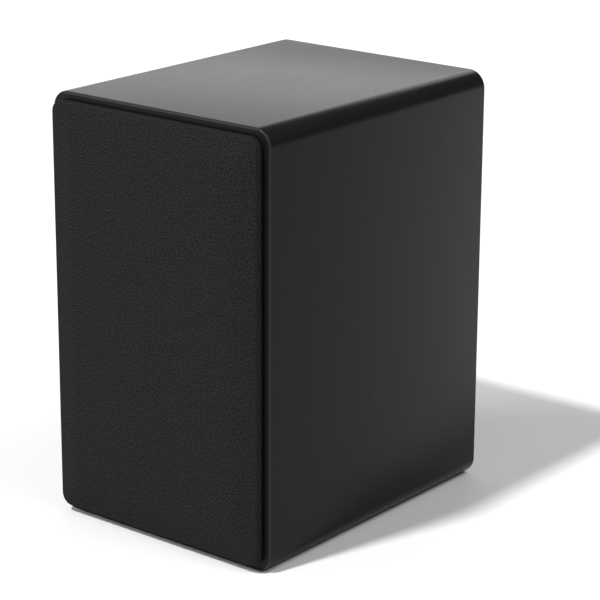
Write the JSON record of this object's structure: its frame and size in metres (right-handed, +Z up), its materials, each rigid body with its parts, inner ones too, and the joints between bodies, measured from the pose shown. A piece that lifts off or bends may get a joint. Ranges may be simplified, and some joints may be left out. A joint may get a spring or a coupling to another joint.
{
  "type": "bookshelf speaker",
  "caption": "Compact two-way bookshelf speaker in a rounded black cabinet, with a full-face cloth grille, rear bass port and screw-down terminals.",
  "frame": {"origin": "centre of the cabinet's base, half way between the cabinet's front and rear faces", "axes": "+X to the right of a person facing the grille, -Y out of the front, +Z up"},
  "size_m": [0.15, 0.2003, 0.238],
  "materials": {
    "lacquer": "satin black lacquer over fibreboard",
    "painted_board": "matt black painted fibreboard",
    "bare_board": "bare fibreboard",
    "foam": "open-cell damping foam",
    "grille_plastic": "moulded black plastic",
    "grille_fabric": "fine black woven acoustic cloth",
    "black_rubber": "black moulded rubber",
    "basket_metal": "black powder-coated steel",
    "cone": "mica-filled polypropylene",
    "dust_cap": "black moulded cap",
    "former": "thin aluminium",
    "copper": "enamelled copper wire",
    "spider_cloth": "resin-treated cotton",
    "plated_steel": "zinc-plated steel",
    "ferrite": "sintered ferrite",
    "phenolic": "phenolic board with brass tabs",
    "black_screws": "black oxide steel",
    "faceplate": "satin black moulded plastic",
    "silk": "coated silk",
    "tinned_brass": "tinned brass",
    "port_plastic": "textured black plastic",
    "port_board": "black extruded tube",
    "cup_plastic": "textured black plastic",
    "post_metal": "gold-plated brass",
    "black_knob_plastic": "black plastic",
    "red_knob_plastic": "red plastic",
    "circuit_board": "green laminate",
    "nylon": "natural nylon",
    "bright_screws": "zinc-plated steel",
    "film_case": "yellow film wrap",
    "can_sleeve": "blue sleeve",
    "ceramic": "white ceramic",
    "wire_cover": "soft wire insulation"
  },
  "bodies": {
    "root": {"black_base_ring": "black_knob_plastic", "black_post_stud": "post_metal", "cabinet_shell": "lacquer", "crossover_board": "circuit_board", "crossover_screws": "bright_screws", "crossover_standoffs": "nylon", "film_capacitors": "film_case", "filter_capacitor": "can_sleeve", "front_baffle": "painted_board", "grille_sockets": "black_rubber", "input_wires": "wire_cover", "left_damping_pad": "foam", "port_flare": "port_plastic", "port_tube": "port_board", "post_nuts": "post_metal", "power_resistors": "ceramic", "rear_panel": "painted_board", "red_base_ring": "red_knob_plastic", "red_post_stud": "post_metal", "right_damping_pad": "foam", "shelf_brace": "bare_board", "solder_tabs": "tinned_brass", "terminal_cup": "cup_plastic", "terminal_cup_gasket": "black_rubber", "terminal_cup_screws": "black_screws", "tweeter_back_plate": "plated_steel", "tweeter_faceplate": "faceplate", "tweeter_gasket": "black_rubber", "tweeter_inductor": "copper", "tweeter_magnet": "ferrite", "tweeter_screws": "black_screws", "tweeter_surround": "silk", "tweeter_terminals": "tinned_brass", "tweeter_top_plate": "plated_steel", "tweeter_wires": "wire_cover", "woofer_back_plate": "plated_steel", "woofer_basket": "basket_metal", "woofer_gasket": "black_rubber", "woofer_inductor": "copper", "woofer_magnet": "ferrite", "woofer_screws": "black_screws", "woofer_spider": "spider_cloth", "woofer_surround": "black_rubber", "woofer_terminal_strip": "phenolic", "woofer_tinsel_leads": "copper", "woofer_top_plate": "plated_steel", "woofer_wires": "wire_cover"},
    "grille": {"grille_frame": "grille_plastic", "grille_cloth": "grille_fabric", "grille_pegs": "grille_plastic"},
    "woofer_moving": {"woofer_cone": "cone", "woofer_dust_cap": "dust_cap", "woofer_coil_former": "former", "woofer_voice_coil": "copper"},
    "tweeter_moving": {"tweeter_dome": "silk", "tweeter_voice_coil": "copper"},
    "black_washer": {"black_clamp_washer": "post_metal"},
    "black_knob_body": {"black_knob": "black_knob_plastic"},
    "red_washer": {"red_clamp_washer": "post_metal"},
    "red_knob_body": {"red_knob": "red_knob_plastic"}
  },
  "joints": [
    {"name": "grille_pull", "type": "slide", "parent": "root", "child": "grille", "axis": [0, -1, 0], "range_m": [0, 0.06]},
    {"name": "woofer_travel", "type": "slide", "parent": "root", "child": "woofer_moving", "axis": [0, -1, 0], "range_m": [-0.0035, 0.0035], "stiffness_N_per_m": 1000, "deforming": ["woofer_surround", "woofer_spider", "woofer_tinsel_leads"]},
    {"name": "tweeter_travel", "type": "slide", "parent": "root", "child": "tweeter_moving", "axis": [0, -1, 0], "range_m": [-0.0004, 0.0004], "stiffness_N_per_m": 5000, "deforming": ["tweeter_surround"]},
    {"name": "black_washer_slide", "type": "slide", "parent": "root", "child": "black_washer", "axis": [0, 1, 0], "range_m": [0, 0.006]},
    {"name": "black_knob_turn", "type": "hinge", "parent": "black_washer", "child": "black_knob_body", "pos_m": [-0.0095, 0.0915, 0.06], "axis": [0, 1, 0], "range_deg": [0, 2160]},
    {"name": "red_washer_slide", "type": "slide", "parent": "root", "child": "red_washer", "axis": [0, 1, 0], "range_m": [0, 0.006]},
    {"name": "red_knob_turn", "type": "hinge", "parent": "red_washer", "child": "red_knob_body", "pos_m": [0.0095, 0.0915, 0.06], "axis": [0, 1, 0], "range_deg": [0, 2160]}
  ],
  "couplings": [
    {"joint": "black_knob_turn", "follows": "black_washer_slide", "rad_per_m": 6283.2},
    {"joint": "red_knob_turn", "follows": "red_washer_slide", "rad_per_m": 6283.2}
  ]
}
